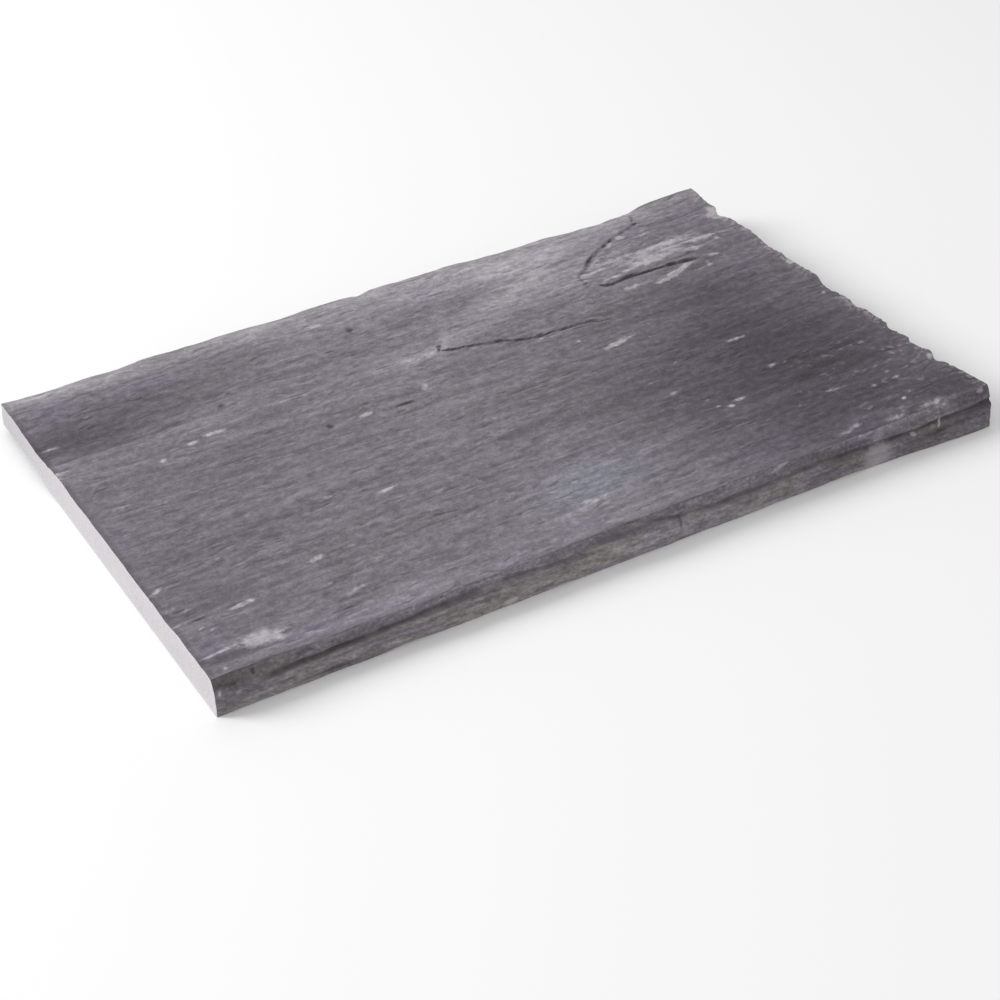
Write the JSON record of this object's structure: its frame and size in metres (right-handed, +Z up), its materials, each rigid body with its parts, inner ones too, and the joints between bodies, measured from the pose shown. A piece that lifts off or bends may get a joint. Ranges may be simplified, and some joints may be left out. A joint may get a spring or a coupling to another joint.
{
  "type": "slate slab",
  "caption": "Rectangular riven slate paving slab with a cleft top, a sawn left edge and broken front, right and back edges.",
  "frame": {"origin": "centre of the slab's outline, on the plane that it lies on", "axes": "+X along the length, from the sawn left edge to the broken right edge; +Y across the width, from the front edge to the back; +Z up, out of the cleft top"},
  "size_m": [0.5042, 0.3054, 0.0295],
  "materials": {
    "slate": "riven, matt, purple grey with paler bands, dusty pale grey on the sawn edge"
  },
  "bodies": {
    "root": {"slate_slab": "slate"}
  },
  "joints": []
}
